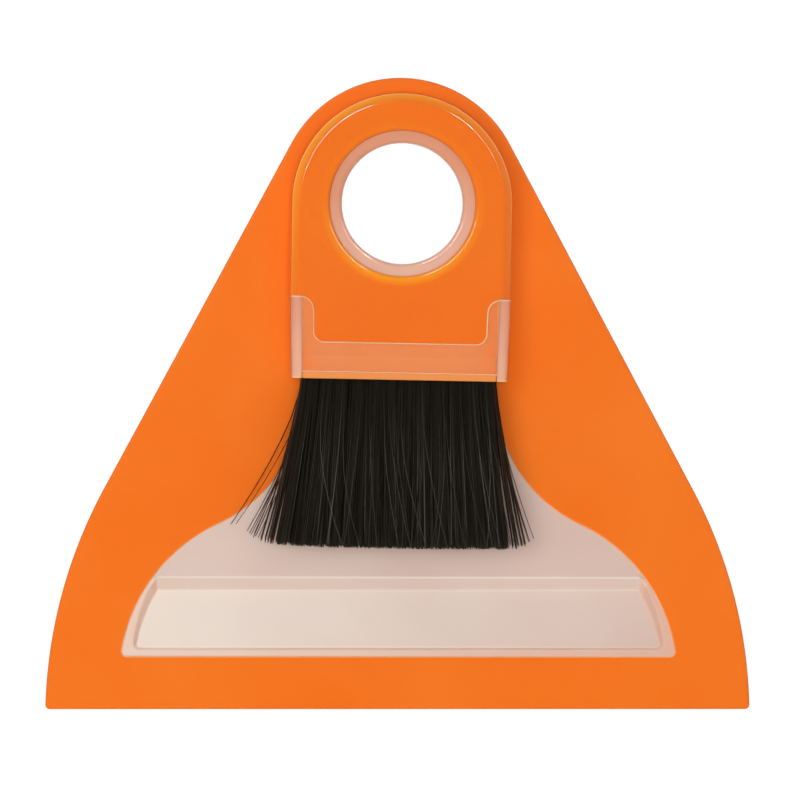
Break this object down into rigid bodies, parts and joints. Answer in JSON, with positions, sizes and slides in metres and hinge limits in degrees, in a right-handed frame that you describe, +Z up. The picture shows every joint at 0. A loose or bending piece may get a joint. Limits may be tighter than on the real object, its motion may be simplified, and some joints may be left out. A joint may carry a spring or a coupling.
{
  "type": "dust pan and brush set",
  "caption": "Wedge-shaped dust pan with a sunk frosted tray and a ring-handled hand brush that hangs on a collar, swivels there and lifts off.",
  "frame": {"origin": "on the table under the middle of the pan", "axes": "+X across the sweeping edge, +Y from the sweeping edge to the arch, +Z up from the table"},
  "size_m": [0.1998, 0.18, 0.0291],
  "materials": {
    "orange_shell": "moulded, glossy",
    "orange_handle": "moulded, glossy",
    "frosted": "moulded, frosted, lets light through",
    "bristle": "drawn filament, satin",
    "steel": "cut strip"
  },
  "bodies": {
    "pan": {"pan_shell": "orange_shell", "dust_tray": "frosted", "ring_collar": "frosted"},
    "ring": {"finger_ring": "frosted"},
    "brush": {"handle_front": "orange_handle", "handle_back": "orange_handle", "ferrule": "frosted", "bristle_block": "orange_handle", "tufts_front": "bristle", "tufts_middle": "bristle", "tufts_back": "bristle", "tuft_anchors": "steel"}
  },
  "joints": [
    {"name": "brush_lift", "type": "slide", "parent": "pan", "child": "ring", "axis": [0, -0.1045, 0.9945], "range_m": [0, 0.04]},
    {"name": "brush_swivel", "type": "hinge", "parent": "ring", "child": "brush", "pos_m": [0, 0.05155, 0.02151], "axis": [0, -0.1045, 0.9945], "continuous": true}
  ]
}
